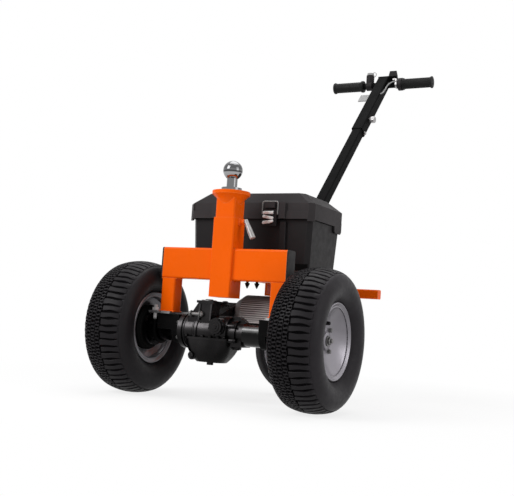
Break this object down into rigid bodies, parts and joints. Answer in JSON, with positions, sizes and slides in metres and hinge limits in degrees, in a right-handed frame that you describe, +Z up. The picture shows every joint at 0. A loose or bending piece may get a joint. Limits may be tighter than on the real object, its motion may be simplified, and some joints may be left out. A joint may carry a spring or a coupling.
{
  "type": "electric trailer dolly",
  "caption": "Walk-behind electric trailer mover: driven turf wheels under an orange frame, hitch ball on a sliding mast, battery box, swivelling rear wheel and sloping tiller.",
  "frame": {"origin": "on the floor under the middle of the whole dolly's box", "axes": "+Z up, +Y towards the tiller's handlebar, -Y towards the hitch ball side, +X to the throttle side"},
  "size_m": [0.6176, 1.215, 1.107],
  "materials": {
    "frame_orange": "gloss",
    "black_plastic": "matte",
    "zinc_steel": "satin",
    "chrome": "polished",
    "black_cast": "satin",
    "black_steel": "satin",
    "motor_metal": "satin",
    "tyre_rubber": "matte",
    "rim_silver": "satin",
    "grip_rubber": "matte",
    "pale_plate": "satin"
  },
  "bodies": {
    "chassis": {"cross_beam": "frame_orange", "tube_end_caps": "black_plastic", "frame_legs": "frame_orange", "axle_saddles": "zinc_steel", "axle_straps": "black_steel", "u_bolts": "zinc_steel", "mast_tube": "frame_orange", "mast_clamp": "chrome", "diff_case": "black_cast", "gear_case": "black_cast", "axle_tube_left": "black_steel", "axle_tube_right": "black_steel", "drive_motor": "motor_metal", "motor_end_bell": "motor_metal", "chassis_rails": "frame_orange", "rear_bar": "frame_orange", "box_tray": "black_steel", "tail_plate": "frame_orange", "box_body": "black_plastic", "battery_block": "black_plastic", "caster_plate": "frame_orange", "tiller_socket": "frame_orange", "socket_cheeks": "frame_orange", "tiller_stem": "black_steel"},
    "mast": {"mast_post": "frame_orange", "hitch_ball": "chrome"},
    "lid": {"box_lid": "black_plastic", "latch_levers": "chrome", "latch_bails": "chrome"},
    "tiller_head": {"tiller_sleeve": "black_steel", "handlebar": "black_steel", "grip_left": "grip_rubber", "grip_throttle": "grip_rubber", "throttle_housing": "black_plastic", "key_switch": "black_plastic", "key_top": "pale_plate", "switch_pad": "black_plastic", "lock_knob": "zinc_steel", "tag_plate": "pale_plate", "control_cable": "grip_rubber"},
    "wheel_left": {"tyre_left": "tyre_rubber", "rim_left": "rim_silver", "hub_left": "black_steel"},
    "wheel_right": {"tyre_right": "tyre_rubber", "rim_right": "rim_silver", "hub_right": "black_steel"},
    "caster": {"caster_fork": "zinc_steel", "caster_bolt": "zinc_steel"},
    "caster_wheel": {"caster_tyre": "tyre_rubber", "caster_rim": "rim_silver"}
  },
  "joints": [
    {"name": "wheel_left_spin", "type": "hinge", "parent": "chassis", "child": "wheel_left", "pos_m": [-0.2453, -0.44248, 0.165], "axis": [1, 0, 0], "continuous": true},
    {"name": "wheel_right_spin", "type": "hinge", "parent": "chassis", "child": "wheel_right", "pos_m": [0.2453, -0.44248, 0.165], "axis": [1, 0, 0], "continuous": true},
    {"name": "caster_swivel", "type": "hinge", "parent": "chassis", "child": "caster", "pos_m": [0, -0.10248, 0.2645], "axis": [0, 0, 1], "continuous": true},
    {"name": "caster_spin", "type": "hinge", "parent": "caster", "child": "caster_wheel", "pos_m": [0.04096, -0.0738, 0.127], "axis": [0.5736, -0.8192, 0], "continuous": true},
    {"name": "lid_hinge", "type": "hinge", "parent": "chassis", "child": "lid", "pos_m": [0, -0.17648, 0.445], "axis": [-1, 0, 0], "range_deg": [0, 80]},
    {"name": "mast_slide", "type": "slide", "parent": "chassis", "child": "mast", "axis": [0, 0, 1], "range_m": [-0.03, 0.1]},
    {"name": "tiller_slide", "type": "slide", "parent": "chassis", "child": "tiller_head", "axis": [0, 0.6959, 0.7181], "range_m": [-0.15, 0.08]}
  ]
}
